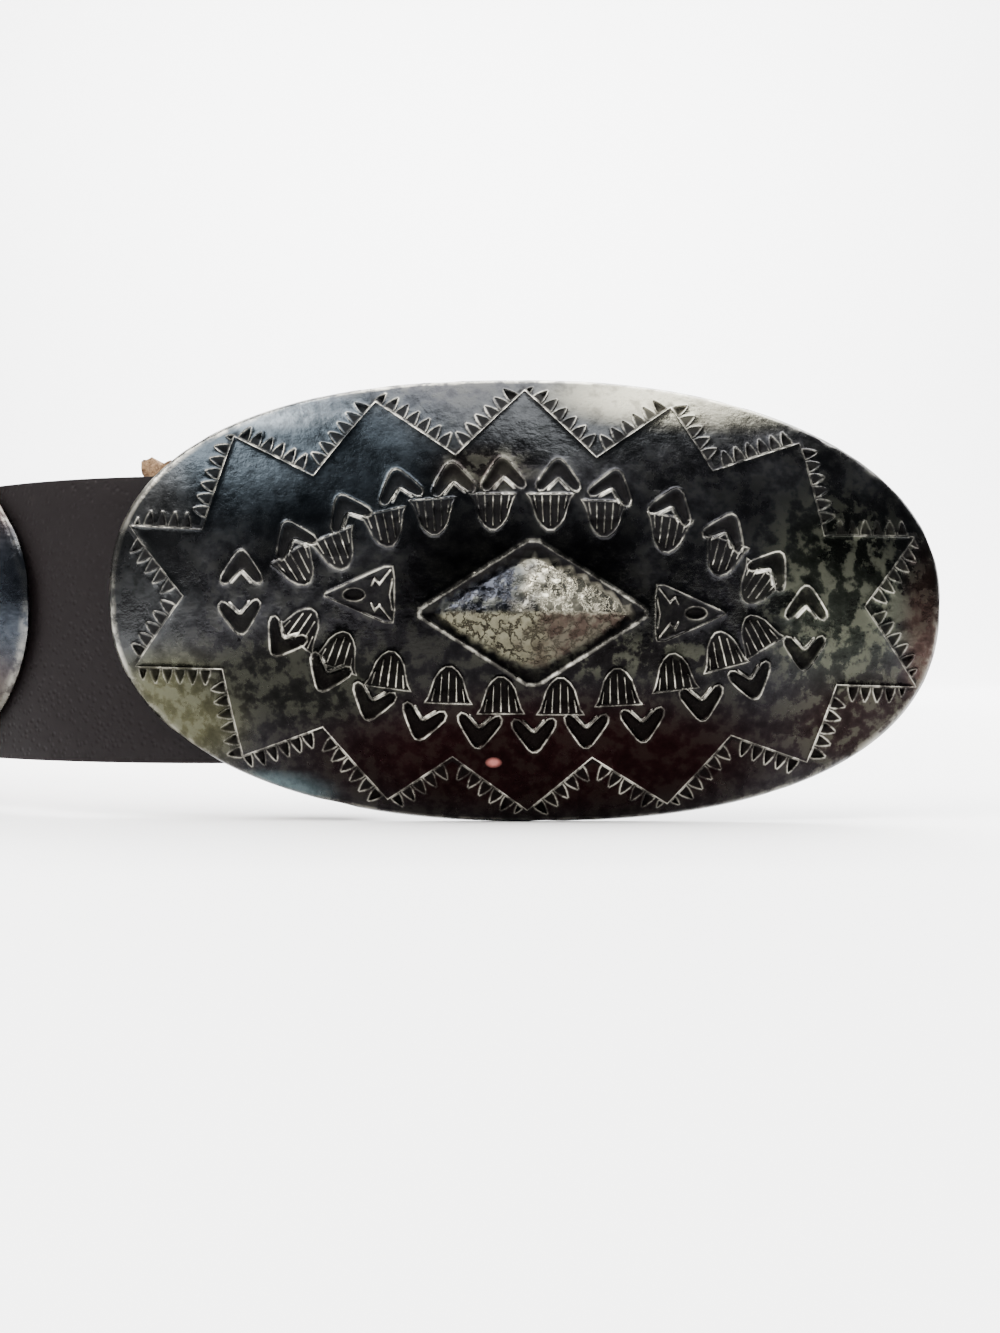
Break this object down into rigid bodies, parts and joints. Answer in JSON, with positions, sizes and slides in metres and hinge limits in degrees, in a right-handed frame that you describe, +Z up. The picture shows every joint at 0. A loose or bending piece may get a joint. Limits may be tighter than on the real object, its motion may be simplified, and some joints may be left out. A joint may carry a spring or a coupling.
{
  "type": "concho belt",
  "caption": "Leather strap with a large oval stamped plate buckle on a folded tab and a row of smaller domed oval plates threaded on it by loops.",
  "frame": {"origin": "on the surface that the belt stands on, under the middle of its box", "axes": "+Z up; the buckle's face looks along -Y and its length lies along X, with the strap leaving it towards -X and curving back to +Y and round"},
  "size_m": [0.3752, 0.4496, 0.0576],
  "materials": {
    "strap_leather": "dark brown-black smooth leather with a tan flesh side, lightly scuffed",
    "buckle_silver": "darkly oxidised silver with worn bright edges and stained patina",
    "concho_silver": "darkly oxidised silver with worn bright edges",
    "rivet_copper": "dull brown copper"
  },
  "bodies": {
    "root": {"strap": "strap_leather", "buckle": "buckle_silver", "concho_1": "concho_silver", "concho_2": "concho_silver", "concho_3": "concho_silver", "concho_4": "concho_silver", "concho_5": "concho_silver", "concho_6": "concho_silver", "concho_7": "concho_silver", "tab_rivet_1": "rivet_copper", "tab_rivet_2": "rivet_copper"}
  },
  "joints": []
}
